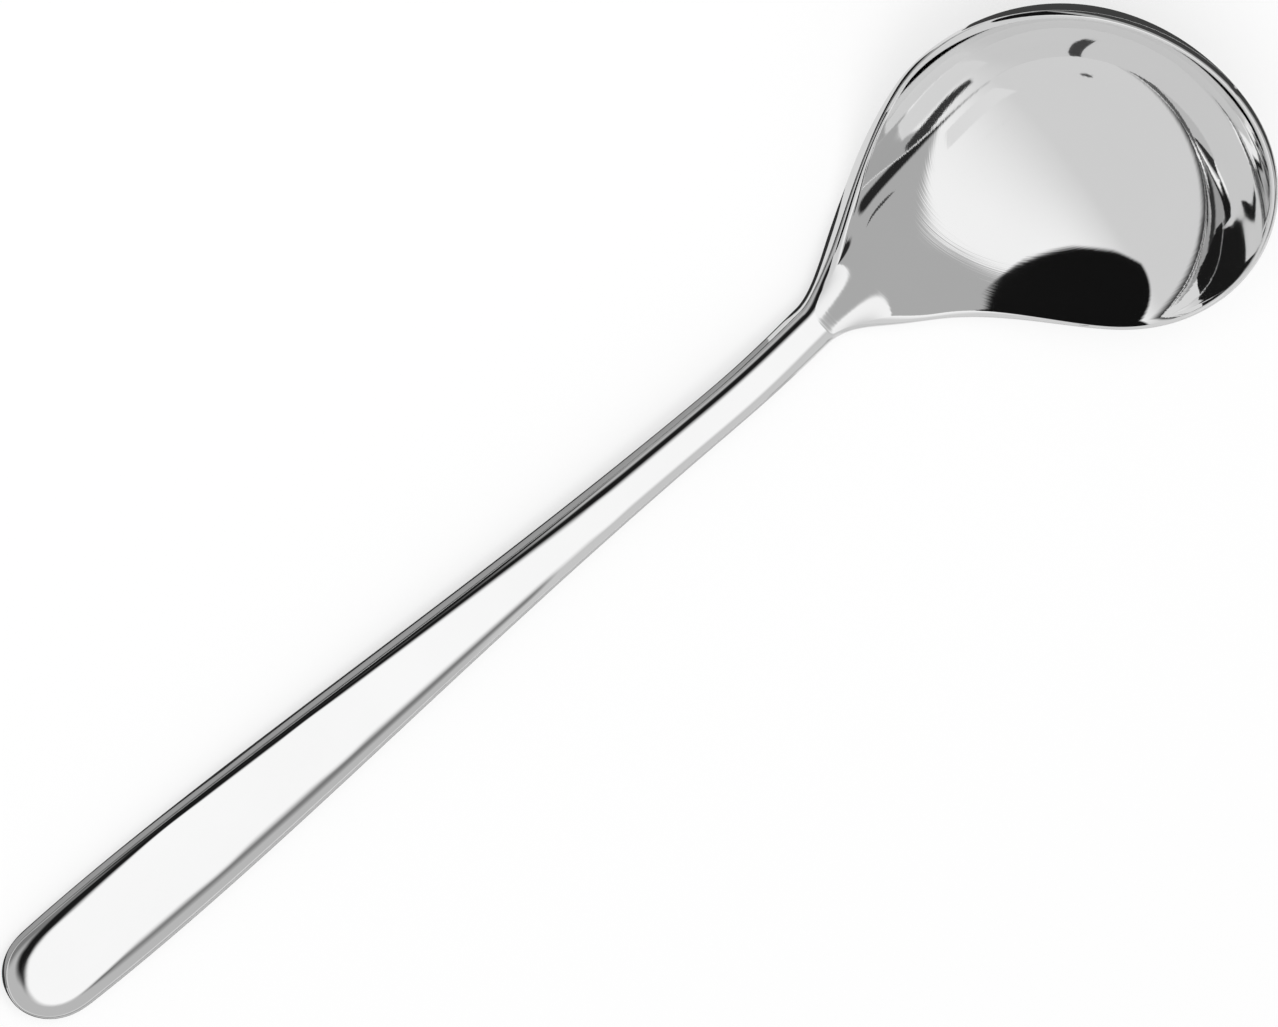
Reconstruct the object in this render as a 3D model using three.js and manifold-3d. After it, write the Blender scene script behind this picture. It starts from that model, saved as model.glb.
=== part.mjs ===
// Soup ladle in polished steel. A deep drawn bowl runs through a narrow neck into a tang, and the
// tang sits in the mouth of a hollow handle. The handle is pressed as two half shells, which a weld
// joins along their seam, and a second weld joins the handle's mouth to the neck.
// Millimetres. Each piece is modelled with the bowl's rim level, the rim's centre at the origin and
// the handle towards +X. The whole ladle is then laid on a table, on its bowl and the handle's end.

import * as THREE from 'three';
import { mergeVertices } from 'three/addons/utils/BufferGeometryUtils.js';
import Module from 'manifold-3d';

const { degToRad, clamp, lerp, smootherstep } = THREE.MathUtils;

// Bowl: the rim's full ellipse, the inside depth below it and the sheet's thickness
const BOWL_WIDTH = 68;
const BOWL_LENGTH = 60.8;
const BOWL_DEPTH = 22;
const BOWL_WALL = 1.4;

// Shoulder: where the rim leaves its ellipse, sinks and draws in to the neck
const SHOULDER_ANGLE = degToRad(62);
const SHOULDER_RUN = 15.5;
const RIM_DIP = 6;
const RIM_DIP_SKEW = 2.5;
const RAMP_START = 9;

// Neck: its end is set from the rim's centre, and its top hollow fades out into a rounded bar
const NECK_REACH = 52.8;
const NECK_RISE = 2.2;
const NECK_RISE_SHARE = 0.7;
const NECK_RUN = 7;
const NECK_WIDTH = 8.4;
const NECK_THICKNESS = 4.4;
const NECK_HOLLOW = 0.3;
const NECK_SLOPE = degToRad(29);
const NECK_BLEND = 16;
const TANG_LENGTH = 18;

// Handle: its line bends from the neck's slope to its own, and its widths and thicknesses are
// given at the waist, the middle, the grip and the end
const HANDLE_LENGTH = 174;
const HANDLE_SLOPE = degToRad(20.6);
const BEND_LENGTH = 27;
const WAIST_WIDTH = 8.3;
const MIDDLE_WIDTH = 12.7;
const GRIP_WIDTH = 17.8;
const END_WIDTH = 17.4;
const WAIST_THICKNESS = 4.4;
const GRIP_THICKNESS = 6.6;
const END_THICKNESS = 4.9;
const END_ROUND = 9.8;
const SHELL_WALL = 0.9;

// Where the handle's widths and thicknesses are given, as shares of its length
const WAIST_AT = 0.165;
const MIDDLE_AT = 0.49;
const GRIP_AT = 0.76;
const THICKEST_AT = 0.72;

// Welds, the gap that neighbouring pieces keep, and the flat that each resting place is worn to
const SEAM_WELD = 0.8;
const NECK_WELD = 1.2;
const FIT_GAP = 0.3;
const REST_FLAT = 0.12;

// Shape of the sections: 2 is an ellipse, more is squarer. The lip angle is where a bar's section
// passes from its top and bottom to its sides
const SECTION_FULLNESS = 2.6;
const END_FULLNESS = 2.4;
const LIP_ANGLE = degToRad(40);

// Facets
const RIM_ROWS = 17;
const NECK_ROWS = 12;
const TANG_ROWS = 5;
const SHEET_STEPS = 16;
const LIP_STEPS = 4;
const HANDLE_ROWS = 22;
const END_ROWS = 7;
const HANDLE_SIDES = 28;
const BEND_STEPS = 32;

// Small step for slopes of the sheet, and the nearest row to the bowl's tip that has a width
const SLOPE_STEP = 1e-3;

const bowlHalfWidth = BOWL_WIDTH / 2;
const bowlHalfLength = BOWL_LENGTH / 2;
const bowlRadius = (bowlHalfWidth ** 2 + BOWL_DEPTH ** 2) / (2 * BOWL_DEPTH);

// Values in even steps from one towards another, which the last step doesn't reach.
function evenSteps(from, to, count) {
  return Array.from({ length: count }, (_, i) => lerp(from, to, i / count));
}

// Rim and floor of the sheet

const shoulder = new THREE.Vector2(
  bowlHalfLength * Math.cos(SHOULDER_ANGLE),
  bowlHalfWidth * Math.sin(SHOULDER_ANGLE),
);
const shoulderDirection = new THREE.Vector2(
  bowlHalfLength * Math.sin(SHOULDER_ANGLE),
  -bowlHalfWidth * Math.cos(SHOULDER_ANGLE),
).normalize();
const neckEdgeHalfWidth = (NECK_WIDTH - NECK_THICKNESS) / 2;
const neckEdge = new THREE.CubicBezierCurve(
  shoulder,
  shoulder.clone().addScaledVector(shoulderDirection, SHOULDER_RUN),
  new THREE.Vector2(NECK_REACH - NECK_RUN, neckEdgeHalfWidth),
  new THREE.Vector2(NECK_REACH, neckEdgeHalfWidth),
);

// Plan of the rim at q: 0 at the bowl's tip, 1 at the shoulder and 2 at the neck's end.
function rimPlan(q) {
  if (q > 1) return neckEdge.getPoint(q - 1);
  const turn = q * (Math.PI - SHOULDER_ANGLE);
  return new THREE.Vector2(-bowlHalfLength * Math.cos(turn), bowlHalfWidth * Math.sin(turn));
}

function rimHeight(x) {
  const share = clamp((x + bowlHalfLength) / (NECK_REACH + bowlHalfLength), 0, 1);
  const dip = RIM_DIP * Math.sin(Math.PI * share ** RIM_DIP_SKEW) ** 2;
  return NECK_RISE * smootherstep(x, NECK_REACH * (1 - NECK_RISE_SHARE), NECK_REACH) - dip;
}

function capHeight(x) {
  const across = x * bowlHalfWidth / bowlHalfLength;
  return bowlRadius - BOWL_DEPTH - Math.sqrt(bowlRadius ** 2 - across ** 2);
}

const rampLength = NECK_REACH - RAMP_START;
const rampFoot = capHeight(RAMP_START);
const rampFootSlope = (capHeight(RAMP_START + SLOPE_STEP) - rampFoot) / SLOPE_STEP;
const rampTop = NECK_RISE - NECK_HOLLOW;
const ramp = new THREE.CubicBezierCurve(
  new THREE.Vector2(RAMP_START, rampFoot),
  new THREE.Vector2(RAMP_START + rampLength / 3, rampFoot + rampFootSlope * rampLength / 3),
  new THREE.Vector2(NECK_REACH - rampLength / 3, rampTop - Math.tan(NECK_SLOPE) * rampLength / 3),
  new THREE.Vector2(NECK_REACH, rampTop),
);

function floorHeight(x) {
  if (x < RAMP_START) return capHeight(x);
  return ramp.getPoint((x - RAMP_START) / rampLength).y;
}

function sheetThickness(x) {
  return lerp(BOWL_WALL, NECK_THICKNESS, smootherstep(x, RAMP_START, NECK_REACH));
}

// Inside of the sheet at q along the rim and v across it: each row is an arc from edge to edge.
function sheetPoint(q, v) {
  const { x, y: halfWidth } = rimPlan(q);
  const floor = floorHeight(x);
  const sag = rimHeight(x) - floor;
  const radius = (halfWidth ** 2 + sag ** 2) / (2 * sag);
  const turn = v * Math.atan2(halfWidth, radius - sag);
  return new THREE.Vector3(x, radius * Math.sin(turn), floor + radius * (1 - Math.cos(turn)));
}

function sheetSlope(q, v) {
  const along = clamp(q, 2 * SLOPE_STEP, 2 - SLOPE_STEP);
  return sheetPoint(along + SLOPE_STEP, v).sub(sheetPoint(along - SLOPE_STEP, v)).normalize();
}

function sheetNormal(q, v) {
  const across = sheetPoint(q, v + SLOPE_STEP).sub(sheetPoint(q, v - SLOPE_STEP));
  return sheetSlope(q, v).cross(across).normalize();
}

// Half round from the inside edge of the sheet to its outside edge, on the side +1 or -1.
function lipPoints(q, side) {
  const normal = sheetNormal(q, side);
  const outward = normal.clone().cross(sheetSlope(q, side)).multiplyScalar(side);
  const radius = sheetThickness(rimPlan(q).x) / 2;
  const centre = sheetPoint(q, side).addScaledVector(normal, -radius);
  return Array.from({ length: LIP_STEPS - 1 }, (_, i) => {
    const turn = Math.PI * (i + 1) / LIP_STEPS;
    return centre.clone()
      .addScaledVector(normal, radius * Math.cos(turn))
      .addScaledVector(outward, radius * Math.sin(turn));
  });
}

// Closed section of the sheet: across the inside, round a lip, back across the outside, round a lip.
function sheetRing(q) {
  const thickness = sheetThickness(rimPlan(q).x);
  const steps = [...evenSteps(-1, 1, SHEET_STEPS), 1];
  const inside = steps.map((v) => sheetPoint(q, v));
  const outside = steps.map((v, i) => inside[i].clone().addScaledVector(sheetNormal(q, v), -thickness));
  return [...inside, ...lipPoints(q, 1), ...outside.reverse(), ...lipPoints(q, -1).reverse()];
}

// At the tip the section closes up to one curve in the ladle's plane of symmetry.
function tipRing() {
  const q = SLOPE_STEP;
  const inside = sheetPoint(q, 0);
  const outside = inside.clone().addScaledVector(sheetNormal(q, 0), -BOWL_WALL);
  const lip = lipPoints(q, 1).map((point) => point.setY(0));
  const arc = (point) => Array(SHEET_STEPS + 1).fill(point);
  return [...arc(inside), ...lip, ...arc(outside), ...lip.toReversed()];
}

// Rounded bar sections of the neck and the handle

// Angles of a bar's ring that answer to the sheet's ring: its inside, lip, outside and lip.
const sheetAngles = [
  ...evenSteps(Math.PI - LIP_ANGLE, LIP_ANGLE, SHEET_STEPS),
  ...evenSteps(LIP_ANGLE, -LIP_ANGLE, LIP_STEPS),
  ...evenSteps(-LIP_ANGLE, LIP_ANGLE - Math.PI, SHEET_STEPS),
  ...evenSteps(LIP_ANGLE - Math.PI, -LIP_ANGLE - Math.PI, LIP_STEPS),
];
const handleAngles = evenSteps(0, -2 * Math.PI, HANDLE_SIDES);

function rounded(value) {
  return Math.sign(value) * Math.abs(value) ** (2 / SECTION_FULLNESS);
}

// Ring of a bar section, square to a line that passes a point at a slope.
function barRing({ point, slope }, halfWidth, halfThickness, angles) {
  return angles.map((angle) => {
    const up = halfThickness * rounded(Math.sin(angle));
    return new THREE.Vector3(
      point.x - Math.sin(slope) * up,
      halfWidth * rounded(Math.cos(angle)),
      point.z + Math.cos(slope) * up,
    );
  });
}

// The neck's line at q, half the sheet's thickness under its inside.
function neckLine(q) {
  const normal = sheetNormal(q, 0);
  const point = sheetPoint(q, 0).addScaledVector(normal, -sheetThickness(rimPlan(q).x) / 2);
  return { point, slope: Math.atan2(-normal.x, normal.z) };
}

// The neck's section turns from the sheet's to a bar's over the last stretch.
function neckRing(q) {
  const { x, y: halfWidth } = rimPlan(q);
  const blend = smootherstep(x, NECK_REACH - NECK_BLEND, NECK_REACH);
  const halfThickness = sheetThickness(x) / 2;
  const bar = barRing(neckLine(q), halfWidth + halfThickness, halfThickness, sheetAngles);
  return sheetRing(q).map((point, i) => point.lerp(bar[i], blend));
}

const neckEnd = neckLine(2).point;

function handleSlope(s) {
  return lerp(NECK_SLOPE, HANDLE_SLOPE, smootherstep(s, 0, BEND_LENGTH));
}

// The handle's line at s from the neck's end: bent at first, then straight.
function handleLine(s) {
  const bent = Math.min(s, BEND_LENGTH);
  const step = bent / BEND_STEPS;
  const point = neckEnd.clone();
  for (let i = 0; i < BEND_STEPS; i += 1) {
    const slope = handleSlope((i + 0.5) * step);
    point.x += step * Math.cos(slope);
    point.z += step * Math.sin(slope);
  }
  point.x += (s - bent) * Math.cos(HANDLE_SLOPE);
  point.z += (s - bent) * Math.sin(HANDLE_SLOPE);
  return { point, slope: handleSlope(s) };
}

// Smooth curve through values that are given at shares of a length.
function curveThrough(shares, values, at) {
  const weights = shares.map((own) => shares
    .filter((other) => other !== own)
    .reduce((product, other) => product * (at - other) / (own - other), 1));
  return values.reduce((sum, value, i) => sum + value * weights[i], 0);
}

// Half sizes of the handle's section at s, drawn in by inset all round and at the end.
function handleHalves(s, inset) {
  const share = s / HANDLE_LENGTH;
  const width = curveThrough(
    [0, WAIST_AT, MIDDLE_AT, GRIP_AT, 1],
    [NECK_WIDTH, WAIST_WIDTH, MIDDLE_WIDTH, GRIP_WIDTH, END_WIDTH],
    share,
  );
  const thickness = curveThrough(
    [0, WAIST_AT, THICKEST_AT, 1],
    [NECK_THICKNESS, WAIST_THICKNESS, GRIP_THICKNESS, END_THICKNESS],
    share,
  );
  const round = clamp((s - HANDLE_LENGTH + END_ROUND) / (END_ROUND - inset), 0, 1);
  const taper = Math.sqrt(1 - round ** END_FULLNESS);
  return [(width / 2 - inset) * taper, (thickness / 2 - inset) * Math.sqrt(taper)];
}

function handleRing(s, inset, angles) {
  return barRing(handleLine(s), ...handleHalves(s, inset), angles);
}

// Stations along the handle from a start, closer where its end turns round.
function handleStations(start, inset) {
  const roundStart = HANDLE_LENGTH - END_ROUND;
  const shaft = evenSteps(start, roundStart, HANDLE_ROWS);
  const end = Array.from({ length: END_ROWS + 1 }, (_, i) => (
    roundStart + (END_ROUND - inset) * Math.sin(Math.PI / 2 * i / END_ROWS)
  ));
  return [...shaft, ...end];
}

// Solids from rings and the cuts between them

// Closed solid through rings that run towards +X and turn clockwise when seen from there.
function loft(rings) {
  const sides = rings[0].length;
  const points = rings.flat();
  const triangles = [];
  for (let row = 0; row < rings.length - 1; row += 1) {
    for (let side = 0; side < sides; side += 1) {
      const next = (side + 1) % sides;
      const [a, b] = [row * sides + side, row * sides + next];
      triangles.push([a, a + sides, b], [b, a + sides, b + sides]);
    }
  }
  const lastRow = (rings.length - 1) * sides;
  for (let side = 1; side < sides - 1; side += 1) {
    triangles.push([0, side, side + 1], [lastRow, lastRow + side + 1, lastRow + side]);
  }
  return closedGeometry(points, triangles);
}

// Closed ring of a profile that is carried round: each profile point is a ring of its own.
function hoop(rings) {
  const sides = rings[0].length;
  const points = rings.flat();
  const triangles = rings.flatMap((ring, row) => ring.flatMap((_, side) => {
    const next = (side + 1) % sides;
    const after = (row + 1) % rings.length;
    const [a, b] = [row * sides + side, row * sides + next];
    const [c, d] = [after * sides + side, after * sides + next];
    return [[a, c, b], [b, c, d]];
  }));
  return closedGeometry(points, triangles);
}

function closedGeometry(points, triangles) {
  const soup = new THREE.BufferGeometry().setFromPoints(points);
  soup.setIndex(triangles.flat());
  const merged = mergeVertices(soup);
  const corners = Array.from(merged.index.array);
  const whole = triangles
    .map((_, i) => corners.slice(3 * i, 3 * i + 3))
    .filter(([a, b, c]) => a !== b && b !== c && c !== a);
  merged.setIndex(whole.flat());
  return merged;
}

const wasm = await Module();
wasm.setup();

function solid(geometry) {
  const bare = geometry.clone();
  bare.deleteAttribute('normal');
  bare.deleteAttribute('uv');
  const merged = mergeVertices(bare);
  return new wasm.Manifold(new wasm.Mesh({
    numProp: 3,
    vertProperties: new Float32Array(merged.attributes.position.array),
    triVerts: new Uint32Array(merged.index.array),
  }));
}

function geometryOf(body) {
  const { vertProperties, triVerts } = body.getMesh();
  const geometry = new THREE.BufferGeometry();
  geometry.setAttribute('position', new THREE.BufferAttribute(vertProperties, 3));
  geometry.setIndex(new THREE.BufferAttribute(triVerts, 1));
  return geometry;
}

// Pieces

// Bowl, neck and tang in one piece; the tang fits the handle's hollow.
function bowlBody() {
  const rim = Array.from({ length: RIM_ROWS }, (_, i) => sheetRing((i + 1) / RIM_ROWS));
  const neck = Array.from({ length: NECK_ROWS }, (_, i) => neckRing(1 + (i + 1) / NECK_ROWS));
  const tang = Array.from({ length: TANG_ROWS + 1 }, (_, i) => (
    handleRing(TANG_LENGTH * i / TANG_ROWS, SHELL_WALL + FIT_GAP, sheetAngles)
  ));
  return solid(loft([tipRing(), ...rim, ...neck, ...tang]));
}

// The neck's weld fills the gap from the neck's end to the handle's mouth.
const weldStart = FIT_GAP;
const weldEnd = weldStart + NECK_WELD;
const mouth = weldEnd + FIT_GAP;

// Hollow handle before it is parted along its seam; its hollow runs out through the mouth.
function handleBody() {
  const outside = handleStations(mouth, 0).map((s) => handleRing(s, 0, handleAngles));
  const hollow = handleStations(0, SHELL_WALL).map((s) => handleRing(s, SHELL_WALL, handleAngles));
  return solid(loft(outside)).subtract(solid(loft(hollow)));
}

// Layer along the handle's line, from one height over it to another, that reaches past the handle.
function seamLayer(low, high) {
  const reach = GRIP_WIDTH + END_WIDTH;
  const stations = [...handleStations(0, 0), HANDLE_LENGTH + END_ROUND];
  return solid(loft(stations.map((s) => {
    const { point, slope } = handleLine(s);
    const corner = (y, up) => new THREE.Vector3(
      point.x - Math.sin(slope) * up,
      y,
      point.z + Math.cos(slope) * up,
    );
    return [corner(-reach, high), corner(reach, high), corner(reach, low), corner(-reach, low)];
  })));
}

// Band round the tang, as thick as the shells and flush with them.
function neckWeldBody() {
  const profile = [[weldStart, 0], [weldEnd, 0], [weldEnd, SHELL_WALL], [weldStart, SHELL_WALL]];
  return solid(hoop(profile.map(([s, inset]) => handleRing(s, inset, handleAngles))));
}

const handle = handleBody();
const seamHalf = SEAM_WELD / 2;
const seamEdge = seamHalf + FIT_GAP;
const bowl = bowlBody();
const upperShell = handle.intersect(seamLayer(seamEdge, GRIP_THICKNESS));
const lowerShell = handle.intersect(seamLayer(-GRIP_THICKNESS, -seamEdge));
const seamWeld = handle.intersect(seamLayer(-seamHalf, seamHalf));
const neckWeld = neckWeldBody();

// Resting place on a table

function cornersOf(body) {
  const { position } = geometryOf(body).attributes;
  return Array.from({ length: position.count }, (_, i) => new THREE.Vector3().fromBufferAttribute(position, i));
}

function lowest(corners, tilt) {
  return corners.reduce((low, { x, z }) => Math.min(low, z * Math.cos(tilt) - x * Math.sin(tilt)), Infinity);
}

// Tilt at which the bowl and the handle's end come down to one level.
function restTilt(bowlCorners, handleCorners) {
  let [low, high] = [0, Math.PI / 2];
  for (let i = 0; i < BEND_STEPS; i += 1) {
    const tilt = (low + high) / 2;
    if (lowest(bowlCorners, tilt) < lowest(handleCorners, tilt)) low = tilt;
    else high = tilt;
  }
  return (low + high) / 2;
}

const bowlCorners = cornersOf(bowl);
const handleCorners = cornersOf(lowerShell);
const allCorners = [bowl, upperShell, lowerShell, seamWeld].flatMap(cornersOf);
const tilt = restTilt(bowlCorners, handleCorners);
const lengthways = allCorners.map(({ x, z }) => x * Math.cos(tilt) + z * Math.sin(tilt)).sort((a, b) => a - b);
const middle = (lengthways.at(0) + lengthways.at(-1)) / 2;

const ladle = new THREE.Group();
ladle.rotation.y = tilt;
ladle.position.set(-middle, 0, -lowest(bowlCorners, tilt) - REST_FLAT);
ladle.updateMatrixWorld();

// Everything under the table's top, in the ladle's own frame.
const tableSize = 2 * (BOWL_LENGTH + NECK_REACH + HANDLE_LENGTH);
const table = solid(new THREE.BoxGeometry(tableSize, tableSize, tableSize)
  .translate(0, 0, -tableSize / 2)
  .applyMatrix4(ladle.matrixWorld.clone().invert()));

function addPiece(name, body, color, roughness) {
  const material = new THREE.MeshStandardMaterial({ color, roughness, metalness: 1 });
  const mesh = new THREE.Mesh(geometryOf(body), material);
  mesh.name = name;
  mesh.geometry.computeVertexNormals();
  ladle.add(mesh);
}

addPiece('bowl', bowl.subtract(table), 0xd3d3d4, 0.06);
addPiece('handle_upper_shell', upperShell, 0xd8d8d9, 0.06);
addPiece('handle_lower_shell', lowerShell.subtract(table), 0xd0d0d2, 0.07);
addPiece('handle_seam_weld', seamWeld, 0xc9c9cc, 0.12);
addPiece('neck_weld', neckWeld, 0xc6c6c9, 0.12);

export default ladle;
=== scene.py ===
"""A soup ladle in polished steel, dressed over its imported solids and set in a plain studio.

The ladle is shaped in its own frame, in millimetres and radians: the bowl's rim is about level,
the rim's centre is the origin and the handle runs towards +X. Its meshes are then laid down as the
ladle rests on a table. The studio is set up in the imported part's frame, whose XY plane is the table.
"""

from __future__ import annotations

import logging
import math
from collections.abc import Sequence
from dataclasses import dataclass, field
from enum import Enum

import bmesh
import bpy
import numpy as np
from mathutils import Matrix, Vector

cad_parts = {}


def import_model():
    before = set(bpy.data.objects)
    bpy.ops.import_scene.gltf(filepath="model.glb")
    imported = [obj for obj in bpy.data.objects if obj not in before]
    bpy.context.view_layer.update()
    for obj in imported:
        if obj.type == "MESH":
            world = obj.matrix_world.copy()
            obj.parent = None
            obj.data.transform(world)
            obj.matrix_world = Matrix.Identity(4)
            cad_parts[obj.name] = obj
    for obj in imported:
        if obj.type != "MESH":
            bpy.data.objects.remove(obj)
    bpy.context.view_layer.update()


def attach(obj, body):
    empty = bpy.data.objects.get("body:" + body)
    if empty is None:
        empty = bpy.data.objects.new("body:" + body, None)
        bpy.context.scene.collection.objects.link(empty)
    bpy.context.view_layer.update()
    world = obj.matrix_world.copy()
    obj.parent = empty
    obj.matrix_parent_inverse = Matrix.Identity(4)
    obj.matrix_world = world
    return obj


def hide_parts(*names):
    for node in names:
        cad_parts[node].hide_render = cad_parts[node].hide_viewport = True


LOG = logging.getLogger("ladle")
METRES = 0.001
BODY = "root"
WHITE = (1.0, 1.0, 1.0, 1.0)

Points = np.ndarray
Wall = tuple[Points, Points, Points, Points]
Spot = tuple[float, float]
Line = tuple[Points, float]
Station = tuple[float, float, float]
Tree = bpy.types.NodeTree
Socket = bpy.types.NodeSocket


def smootherstep(value: float, low: float, high: float) -> float:
    """Eases a value from 0 at low to 1 at high.

    Args:
        value: Where the step is read.
        low: Where it leaves 0.
        high: Where it reaches 1.

    Returns:
        The eased share, with no slope at either end.
    """
    share = min(max((value - low) / (high - low), 0.0), 1.0)
    return share**3 * (share * (share * 6 - 15) + 10)


def bezier(corners: Points, share: float) -> Points:
    """Reads a cubic curve.

    Args:
        corners: Its four control points, one a row.
        share: Where it is read, from 0 to 1.

    Returns:
        The point there.
    """
    back = 1 - share
    weights = np.array([back**3, 3 * back**2 * share, 3 * back * share**2, share**3])
    return weights @ corners


def unit(vectors: Points) -> Points:
    """Scales vectors to length one."""
    return vectors / np.linalg.norm(vectors, axis=-1, keepdims=True)


def grid_normals(grid: Points) -> Points:
    """Finds the normals of a tube of rings.

    Args:
        grid: Rings along the tube, each turning left when seen from its far end.

    Returns:
        The outward normal at each point.
    """
    around = np.roll(grid, -1, axis=1) - np.roll(grid, 1, axis=1)
    along = np.gradient(grid, axis=0)
    return unit(np.cross(around, along))


def wall_between(outer: Points, inner: Points) -> Wall:
    """Gives a tube's wall: its outside's points and normals, then its inside's."""
    return outer, grid_normals(outer), inner, -grid_normals(inner)


def linked(name: str, data: bpy.types.ID) -> bpy.types.Object:
    """Puts an object into the scene.

    Args:
        name: Its name.
        data: Its mesh, lamp or camera.

    Returns:
        The object.
    """
    made = bpy.data.objects.new(name, data)
    bpy.context.collection.objects.link(made)
    return made


def feed(tree: Tree, slot: Socket, value: Socket | float | Sequence[float]) -> None:
    """Feeds an input of a node.

    Args:
        tree: The nodes that it belongs to.
        slot: The input.
        value: Another node's output, which is linked to it, or a plain value.
    """
    if isinstance(value, bpy.types.NodeSocket):
        tree.links.new(value, slot)
    else:
        slot.default_value = value


def add_node(
    tree: Tree, kind: str, values: dict[str, Socket | float | Sequence[float]]
) -> bpy.types.Node:
    """Adds a node.

    Args:
        tree: The nodes that it joins.
        kind: The node's type.
        values: What its inputs are fed with, by their names.

    Returns:
        The node.
    """
    made = tree.nodes.new(kind)
    for name, value in values.items():
        feed(tree, made.inputs[name], value)
    return made


def add_sum(tree: Tree, kind: str, operation: str, *values: Socket | float) -> bpy.types.Node:
    """Adds a node that works out a number or a vector.

    Args:
        tree: The nodes that it joins.
        kind: The node's type.
        operation: What it works out, in the node's own word.
        values: What its inputs are fed with, in their order.

    Returns:
        The node.
    """
    made = tree.nodes.new(kind)
    made.operation = operation
    for slot, value in zip(made.inputs, values):
        feed(tree, slot, value)
    return made


@dataclass(frozen=True)
class RestPose:
    """How the ladle lies: tilted about Y on to its bowl and the handle's end, then moved."""

    tilt: float = 0.3804173
    shift: tuple[float, float, float] = (-97.13499, 0.0, 24.17331)
    draw_in: tuple[float, float, float] = (0.9997, 0.9988, 0.9976)

    def turn(self) -> Points:
        """Turns the ladle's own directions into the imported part's."""
        cos, sin = math.cos(self.tilt), math.sin(self.tilt)
        return np.array([[cos, 0, sin], [0, 1, 0], [-sin, 0, cos]])

    def placed(self, points: Points) -> Points:
        """Turns points of the ladle's own frame, in millimetres, into the part's, in metres."""
        return (points @ self.turn().T + np.array(self.shift)) * METRES

    def laid(self, points: Points) -> Points:
        """Lays points of the ladle down on the table.

        Args:
            points: Points in the ladle's own frame, in millimetres.

        Returns:
            The points in the part's frame, in metres, drawn in a hair and none under the table.
        """
        low = self.placed(points) * np.array(self.draw_in)
        low[..., 2] = np.maximum(low[..., 2], 0.0)
        return low


REST = RestPose()


class Skin:
    """Points and faces of one closed piece, some of them polished and the others flat."""

    def __init__(self) -> None:
        """Starts with no points and no faces."""
        self.points: list[Points] = []
        self.count = 0
        self.faces: list[tuple[int, ...]] = []
        self.corner_normals: list[tuple[float, float, float]] = []
        self.smooth: list[bool] = []
        self.normals: dict[int, tuple[float, float, float]] = {}

    def add_grid(self, grid: Points, normals: Points | None = None) -> Points:
        """Adds a grid of points.

        Args:
            grid: Rows of points in the ladle's own frame.
            normals: The polished surface's normal at each point, if it is given.

        Returns:
            The points' numbers, in the grid's own layout.
        """
        flat = grid.reshape(-1, 3)
        numbers = np.arange(self.count, self.count + len(flat)).reshape(grid.shape[:-1])
        self.points.append(flat)
        self.count += len(flat)
        if normals is not None:
            turned = normals.reshape(-1, 3) @ REST.turn().T
            self.normals.update(zip(numbers.ravel().tolist(), map(tuple, turned.tolist())))
        return numbers

    def add_face(self, corners: list[int], smooth: bool) -> None:
        """Adds one face, which faces out where its corners turn left.

        Args:
            corners: Numbers of its points.
            smooth: Whether it belongs to a polished surface.
        """
        self.faces.append(tuple(corners))
        self.smooth.append(smooth)
        for corner in corners:
            self.corner_normals.append(self.normals.get(corner, (0, 0, 0)) if smooth else (0, 0, 0))

    def add_sheet(self, numbers: Points, smooth: bool = True, flip: bool = False) -> None:
        """Adds the faces between a grid's rows and columns.

        Args:
            numbers: The grid's point numbers.
            smooth: Whether the sheet is a polished surface.
            flip: Whether it faces the other way.
        """
        for row, after in zip(numbers[:-1].tolist(), numbers[1:].tolist()):
            for i in range(len(row) - 1):
                corners = [row[i], row[i + 1], after[i + 1], after[i]]
                self.add_face(corners[::-1] if flip else corners, smooth)

    def add_wall(self, wall: Wall, closed: bool = False) -> tuple[Points, Points]:
        """Adds the two polished sides of a wall.

        Args:
            wall: The outside's points and normals, then the inside's.
            closed: Whether each row goes all the way round.

        Returns:
            The numbers of the outside's points and of the inside's.
        """
        outer, inner = self.add_grid(*wall[:2]), self.add_grid(*wall[2:])
        if closed:
            outer, inner = (np.concatenate([side, side[:, :1]], axis=1) for side in (outer, inner))
        self.add_sheet(outer)
        self.add_sheet(inner, flip=True)
        return outer, inner

    def add_edge(self, outer: Points, inner: Points, flip: bool = False) -> None:
        """Adds the flat faces between a wall's outside and its inside, along one of its edges."""
        self.add_sheet(np.array([outer, inner]), smooth=False, flip=flip)

    def piece(self, name: str) -> bpy.types.Object:
        """Makes the mesh and its object.

        Args:
            name: The piece's name.

        Returns:
            The object, laid down in the part's frame.
        """
        mesh = bpy.data.meshes.new(name)
        mesh.from_pydata(REST.laid(np.concatenate(self.points)).tolist(), [], self.faces)
        mesh.polygons.foreach_set("use_smooth", self.smooth)
        mesh.normals_split_custom_set(self.corner_normals)
        mesh.update()
        return linked(name, mesh)


class Grain(Enum):
    """Which way the polishing lines of a piece run."""

    ALONG_HANDLE = "along the handle"
    ROUND_BOWL = "round the bowl"


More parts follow.
